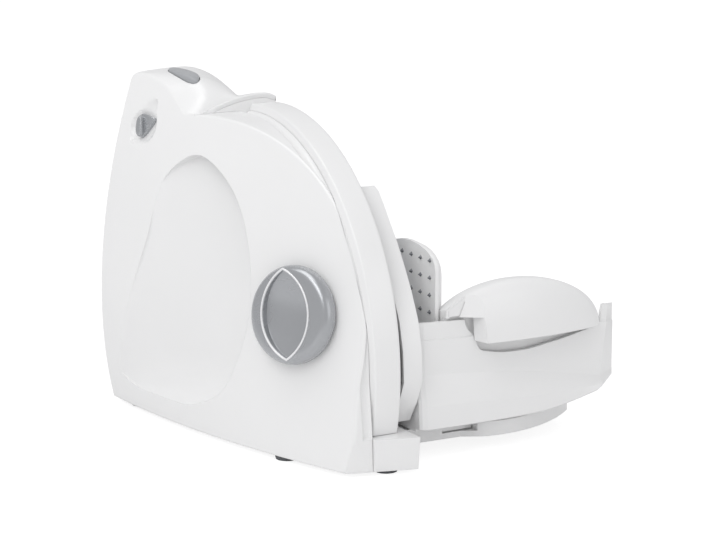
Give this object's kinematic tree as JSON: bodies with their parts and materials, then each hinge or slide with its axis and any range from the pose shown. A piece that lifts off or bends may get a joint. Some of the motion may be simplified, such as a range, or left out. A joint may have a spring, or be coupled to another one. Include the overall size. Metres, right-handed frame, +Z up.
{
  "type": "food slicer",
  "caption": "Household food slicer: leaning white motor housing with a finger scoop and a thickness knob, round blade, stop plate, sliding carriage and spiked food holder.",
  "frame": {"origin": "on the table, under the middle of the bounding box", "axes": "+Z up; +X along the blade's axis, from the motor housing to the carriage; +Y the way the carriage travels when it cuts, away from the user"},
  "size_m": [0.2787, 0.2636, 0.2398],
  "materials": {
    "white_plastic": "glossy",
    "light_grey_plastic": "matt",
    "satin_silver": "satin metallic coating",
    "button_grey": "satin",
    "stainless": "polished",
    "dark_steel": "satin",
    "nylon": "satin",
    "copper": "bare",
    "black_plastic": "satin",
    "grey_rubber": "matt"
  },
  "bodies": {
    "housing": {"housing_shell": "white_plastic", "guard_rim": "white_plastic", "base_bar": "white_plastic", "inner_panel": "white_plastic", "bottom_cover": "light_grey_plastic", "foot_1": "grey_rubber", "foot_2": "grey_rubber", "foot_3": "grey_rubber", "foot_4": "grey_rubber", "foot_5": "grey_rubber", "foot_6": "grey_rubber", "motor_can": "dark_steel", "drive_bracket": "dark_steel", "cam_bracket": "nylon", "guide_plate": "white_plastic", "hinge_pin_1": "dark_steel", "hinge_pin_2": "dark_steel", "microswitch": "black_plastic", "cord_inlet": "black_plastic"},
    "blade": {"blade": "stainless", "blade_spindle": "dark_steel", "blade_screw": "dark_steel", "worm_wheel": "nylon"},
    "armature": {"motor_armature": "copper"},
    "knob": {"thickness_knob": "satin_silver", "knob_shaft": "dark_steel", "cross_pin": "dark_steel"},
    "cam": {"cam_drum": "nylon"},
    "stop": {"stop_plate": "white_plastic", "guide_bar": "stainless", "follower_pin": "stainless"},
    "carriage": {"carriage": "white_plastic"},
    "holder": {"holder_guard": "white_plastic", "spike_plate": "white_plastic"},
    "button": {"on_button": "button_grey"},
    "lock": {"safety_lock": "satin_silver", "lock_arm": "nylon"}
  },
  "joints": [
    {"name": "blade_turn", "type": "hinge", "parent": "housing", "child": "blade", "pos_m": [-0.0341, 0.03276, 0.107], "axis": [1, 0, 0], "continuous": true},
    {"name": "armature_turn", "type": "hinge", "parent": "housing", "child": "armature", "pos_m": [-0.0701, 0.06376, 0.06], "axis": [0, 0, 1], "continuous": true},
    {"name": "knob_turn", "type": "hinge", "parent": "housing", "child": "knob", "pos_m": [-0.08028, -0.06477, 0.09815], "axis": [0.892, 0.4094, -0.1916], "range_deg": [0, 270]},
    {"name": "cam_turn", "type": "hinge", "parent": "housing", "child": "cam", "pos_m": [-0.0711, -0.06055, 0.09618], "axis": [1, 0, 0], "range_deg": [0, 270]},
    {"name": "stop_slide", "type": "slide", "parent": "housing", "child": "stop", "axis": [-1, 0, 0], "range_m": [0, 0.015]},
    {"name": "carriage_slide", "type": "slide", "parent": "housing", "child": "carriage", "axis": [0, 1, 0], "range_m": [0, 0.105]},
    {"name": "holder_slide", "type": "slide", "parent": "carriage", "child": "holder", "axis": [-1, 0, 0], "range_m": [0, 0.0156]},
    {"name": "button_press", "type": "slide", "parent": "housing", "child": "button", "axis": [0.0109, 0.027, -0.9996], "range_m": [0, 0.0025], "stiffness_N_per_m": 400},
    {"name": "lock_turn", "type": "hinge", "parent": "housing", "child": "lock", "pos_m": [-0.11504, 0.09476, 0.202], "axis": [-0.9067, -0.2832, 0.3124], "range_deg": [0, 90]}
  ],
  "couplings": [
    {"joint": "armature_turn", "follows": "blade_turn", "ratio": 30},
    {"joint": "cam_turn", "follows": "knob_turn", "ratio": 1},
    {"joint": "stop_slide", "follows": "knob_turn", "m_per_rad": 0.0031831}
  ]
}
